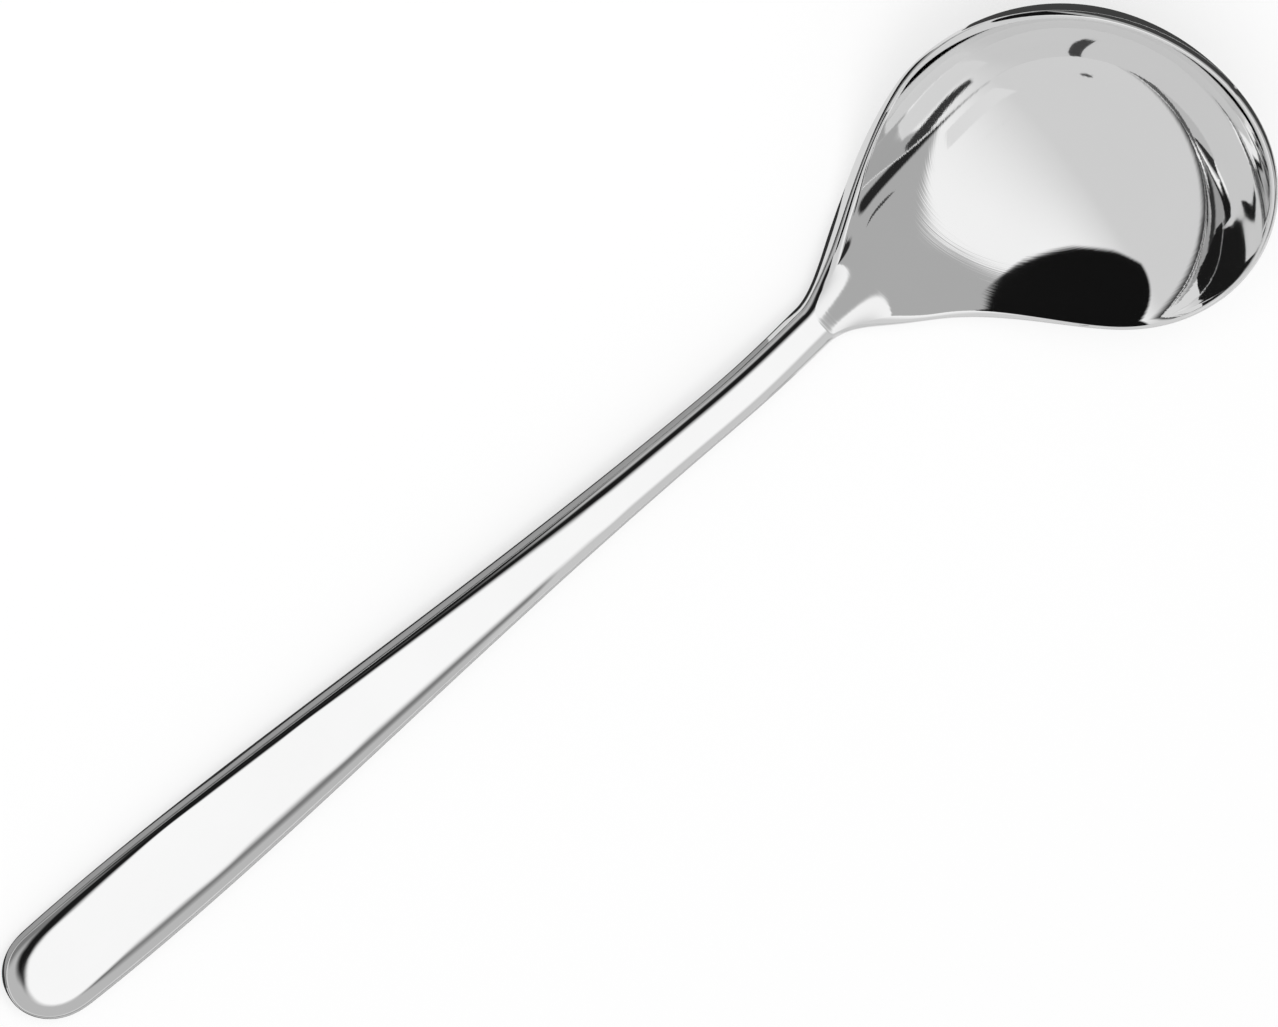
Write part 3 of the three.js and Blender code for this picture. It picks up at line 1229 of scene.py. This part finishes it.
def level_sheet(
    name: str, corners: Sequence[Spot], height: float, material: bpy.types.Material
) -> bpy.types.Object:
    """Makes a flat, level sheet.

    Args:
        name: Its name.
        corners: Its corners, in millimetres, in order round it.
        height: Its height over the table, in millimetres.
        material: Its material.

    Returns:
        The sheet.
    """
    mesh = bpy.data.meshes.new(name)
    points = [(x * METRES, y * METRES, height * METRES) for x, y in corners]
    mesh.from_pydata(points, [], [tuple(range(len(points)))])
    mesh.materials.append(material)
    return linked(name, mesh)


@dataclass(frozen=True)
class Card:
    """A flat studio card close to the ladle, which only the steel mirrors. Some cards are painted
    shade: the floor's shadow near the ladle.
    """

    name: str
    corners: tuple[Spot, ...]
    height: float
    light: float
    strips: tuple[LightStrip, ...] = ()

    def build(self) -> bpy.types.Object:
        """Makes the card.

        Returns:
            The card's object, which is no part of the ladle.
        """
        card = level_sheet(self.name, self.corners, self.height, self.material())
        card.visible_camera = False
        card.visible_diffuse = False
        card.visible_shadow = False
        return card

    def material(self) -> bpy.types.Material:
        """Makes a glow as bright as the card, with its strips painted over it.

        Returns:
            The glow.
        """
        made = bpy.data.materials.new(self.name)
        made.use_nodes = True
        tree = made.node_tree
        tree.nodes.clear()
        light = CardChart(tree).painted(self.light, self.strips) if self.strips else self.light
        glow = add_node(tree, "ShaderNodeEmission", {"Color": WHITE, "Strength": light})
        add_node(tree, "ShaderNodeOutputMaterial", {"Surface": glow.outputs["Emission"]})
        return made


# What the handle mirrors from above: greys, a black line and, over them, the long white strip
OVER_HANDLE = (
    LightStrip(0.6, ((-60, 30, 24), (8, 30, 24)), (5.0,)),
    LightStrip(0.33, ((-40, -60, 40), (0, -60, 40)), (10.0,)),
    LightStrip(0.2, ((105, -32, 18), (130, -32, 18)), (5.0,)),
    LightStrip(0.01, ((28, -46, 33), (70, -60, 44)), (9.0,)),
    LightStrip(0.2, ((20, 3, 8.5), (112, 3.5, 12)), (2.5,)),
    LightStrip(
        0.01,
        ((-60, -3.4, 7.2), (0, -3.4, 7), (60, -9, 13), (88, -12, 15), (106, -7, 13), (119, -3, 8.5)),
        (2.6, 3.0, 3.0, 2.6, 2.0),
    ),
    LightStrip(0.06, ((106, -1, 11), (117, 4, 10.8))),
    LightStrip(
        1.0,
        (
            (-60, 1.75, 5.2), (0, 1.75, 5.2), (60, -2.2, 10.9), (88, -2.3, 13),
            (112, 1.7, 10.6), (116, 3.5, 10), (119.5, 6, 8.3),
        ),
        (1.5, 1.9, 1.9, 1.7, 1.2, 1.2),
    ),
)
# The dark part of the grey card of painted floor shade before the handle
BEFORE_HANDLE = (LightStrip(0.03, ((48, -75, 48), (88, -75, 50)), (14.0,)),)
# Outlines of the cards that aren't square
BLACK_RIGHT = (
    (-75, -21), (-73, -17), (-66, -13.5), (-60, -11), (-52, -8.5), (-47, -9),
    (-47.5, -13.5), (-50, -16.5), (-53, -19.5), (-58, -22), (-66, -22.5),
)
BLACK_FLOOR = (
    (-58, -30), (-46, -20), (-36, -19), (-22, -33), (-10, -46), (0, -62), (15, -95),
    (30, -150), (40, -190), (10, -170), (-15, -130), (-35, -100), (-50, -72), (-57, -60),
)
# Painted shade: the grey shadow on the floor before the handle, which only the steel mirrors
PAINTED_SHADE_BEFORE_HANDLE = ((-40, -3), (-40, -60), (0, -80), (0, -400), (160, -400), (160, -3))
# Painted shade: the floor's contact shadow under the handle and the neck, which only the steel mirrors
PAINTED_SHADOW_UNDER_HANDLE = (
    (-66, -16), (-60, -14), (-54, -11), (-44, -5.4), (-20, -5.2), (30, -7.2), (75, -9.9),
    (118, -9.6), (131, -6), (131, 8), (118, 12.5), (75, 13), (30, 10.5), (-20, 8.2), (-44, 8.2),
)
DARK_RIM = ((-92, 33.6), (-92, 32), (-91.2, 30.5), (-89.2, 30.7), (-89.2, 32.4), (-90.8, 33.2))
DARK_SPOT = ((-77.8, 24), (-75.6, 24), (-73.8, 26), (-75, 26.9), (-77, 25.6))
LIGHT_LEFT = ((-98, 30.8), (-86.6, 30.8), (-87.5, 40), (-88, 45), (-98, 45))


@dataclass
class Studio:
    """The floor, the soft lamp, and the sky and cards that the steel mirrors.

    The lamp's size and place are in metres and its power in watts. The sky's edges and strips are
    in degrees on its chart.
    """

    floor_reach: float = 6000.0
    floor_colour: tuple[float, float, float] = (0.94, 0.94, 0.94)
    floor_roughness: float = 0.9
    floor_glow: float = 0.65
    lamp_size: float = 1.2
    lamp_place: tuple[float, float, float] = (-0.2, -0.5, 1.5)
    lamp_power: float = 14.5
    ambient: float = 0.61
    sky_light: float = 0.66
    glow_light: float = 0.95
    glow_reach: Spot = (-10.0, 14.0)
    back_light: float = 0.42
    back_edge: Spot = (-12.1, -10.9)
    back_bend: float = 0.0019
    back_bend_start: float = 8.0
    rear_light: float = 0.05
    rear_edge: Spot = (-34.0, -28.0)
    horizon_light: float = 0.05
    horizon_lift: float = 0.08
    sky_strips: tuple[LightStrip, ...] = (
        LightStrip(0.006, ((-62, -7.4, 21.5), (-23.4, -11.4, 1.75))),
        LightStrip(0.02, ((74.5, -14, 4.2), (74.5, 8, 4.2))),
        LightStrip(0.02, ((-57, 73, 4), (-85, 47, 4)), (2.0,)),
    )
    cards: tuple[Card, ...] = (
        Card("light_over_handle", oblong(-50, 150, -200, 50), 13, 0.5, OVER_HANDLE),
        Card("black_beside_neck", BLACK_RIGHT, height=17, light=0.01),
        Card("light_beside_bowl", LIGHT_LEFT, height=30, light=0.75),
        Card("dark_beside_rim", DARK_RIM, height=40, light=0.04),
        Card("dark_over_bowl", DARK_SPOT, height=22, light=0.06),
        # Painted shade: the floor's contact shadow under the bowl's tip, a dark card that only the
        # steel mirrors
        Card("painted_shadow_under_tip", oblong(-180, -100, -60, 60), height=1, light=0.05),
        Card("black_before_neck", BLACK_FLOOR, height=1.5, light=0.01),
        # Painted shade: the contact shadow under the handle and the neck, seen only in the steel
        Card("painted_shadow_under_handle", PAINTED_SHADOW_UNDER_HANDLE, height=1.2, light=0.03),
        # Painted shade: the floor's shadow before the handle, seen only in the steel
        Card("painted_shade_before_handle", PAINTED_SHADE_BEFORE_HANDLE, 1, 0.33, BEFORE_HANDLE),
        Card("grey_behind_handle", oblong(-40, 160, 6, 110), height=1, light=0.5),
        Card("pale_floor_mirrored", oblong(-1500, 160, -1500, 1500), height=0.4, light=0.72),
        Card("dark_far_floor", oblong(160, 3000, -1500, 1500), height=0.5, light=0.1),
    )

    def build(self) -> None:
        """Builds the floor, the lamp, the sky and the cards."""
        self.build_floor()
        self.build_lamp()
        self.build_sky()
        for card in self.cards:
            card.build()

    def build_floor(self) -> None:
        """Lays a plain pale floor, which the camera sees whiter than it is lit."""
        material = bpy.data.materials.new("pale_floor")
        material.use_nodes = True
        tree = material.node_tree
        paint = tree.nodes["Principled BSDF"]
        feed(tree, paint.inputs["Base Color"], (*self.floor_colour, 1.0))
        feed(tree, paint.inputs["Roughness"], self.floor_roughness)
        feed(tree, paint.inputs["Specular IOR Level"], 0.0)
        white = add_node(tree, "ShaderNodeEmission", {"Color": WHITE, "Strength": 1.0})
        path = tree.nodes.new("ShaderNodeLightPath").outputs
        share = add_sum(
            tree, "ShaderNodeMath", "MULTIPLY", path[Ray.CAMERA.value], self.floor_glow
        )
        seen = self.mixed(tree, share.outputs[0], paint, white)
        feed(tree, tree.nodes["Material Output"].inputs["Surface"], seen.outputs[0])
        reach = self.floor_reach
        floor = level_sheet("floor", oblong(-reach, reach, -reach, reach), 0.0, material)

    def build_lamp(self) -> None:
        """Hangs one large soft lamp over the ladle, which the steel doesn't mirror."""
        data = bpy.data.lights.new("softbox", "AREA")
        data.size = self.lamp_size
        data.energy = self.lamp_power
        lamp = linked("softbox", data)
        lamp.location = self.lamp_place
        lamp.rotation_euler = Vector(self.lamp_place).to_track_quat("Z", "Y").to_euler()
        lamp.visible_glossy = False

    def build_sky(self) -> None:
        """Makes the sky: white to the camera, even for the floor and shaped for the steel."""
        world = bpy.data.worlds.new("studio_sky")
        bpy.context.scene.world = world
        world.use_nodes = True
        tree = world.node_tree
        tree.nodes.clear()
        lights = (self.ambient, self.shaped_light(tree), 1.0)
        even, shaped, white = (
            add_node(tree, "ShaderNodeBackground", {"Color": WHITE, "Strength": light})
            for light in lights
        )
        path = tree.nodes.new("ShaderNodeLightPath").outputs
        mirrored = self.mixed(tree, path[Ray.GLOSSY.value], even, shaped)
        seen = self.mixed(tree, path[Ray.CAMERA.value], mirrored, white)
        add_node(tree, "ShaderNodeOutputWorld", {"Surface": seen.outputs[0]})

    def mixed(
        self, tree: Tree, share: Socket, under: bpy.types.Node, over: bpy.types.Node
    ) -> bpy.types.Node:
        """Mixes two looks.

        Args:
            tree: The floor's or the sky's nodes.
            share: The share of the second look, which differs by the kind of ray.
            under: The node of the first look.
            over: The node of the second look.

        Returns:
            The node of the mixed look.
        """
        made = tree.nodes.new("ShaderNodeMixShader")
        for slot, value in zip(made.inputs, (share, under.outputs[0], over.outputs[0])):
            feed(tree, slot, value)
        return made

    def shaped_light(self, tree: Tree) -> Socket:
        """Paints the sky that the steel mirrors.

        Args:
            tree: The sky's nodes.

        Returns:
            Its brightness in each direction.
        """
        chart = SkyChart(tree)
        pale = chart.eased(chart.second, self.glow_reach, (self.glow_light, self.sky_light))
        aside = chart.sum("MAXIMUM", chart.sum("SUBTRACT", chart.first, self.back_bend_start), 0.0)
        bend = chart.sum("MULTIPLY", chart.sum("MULTIPLY", aside, aside), self.back_bend)
        ahead = chart.sum("SUBTRACT", chart.second, bend)
        light = chart.eased(ahead, self.back_edge, (self.back_light, pale))
        light = chart.eased(chart.second, self.rear_edge, (self.rear_light, light))
        light = chart.painted(light, self.sky_strips)
        return chart.eased(chart.height, (0.0, self.horizon_lift), (self.horizon_light, light))


def main() -> None:
    """Builds the ladle and its studio, and logs the faces of each piece."""
    logging.basicConfig(level=logging.INFO, format="%(name)s: %(message)s")
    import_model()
    bpy.context.scene.view_settings.view_transform = "Standard"
    bowl = Bowl()
    handle = Handle(bowl)
    pieces = [bowl.build(handle), *handle.build(), NeckWeld(handle).build()]
    for piece in pieces:
        LOG.info("%s: %d faces", piece.name, len(piece.data.polygons))
    Viewpoint().build()
    Studio().build()


if __name__ == "__main__":
    main()
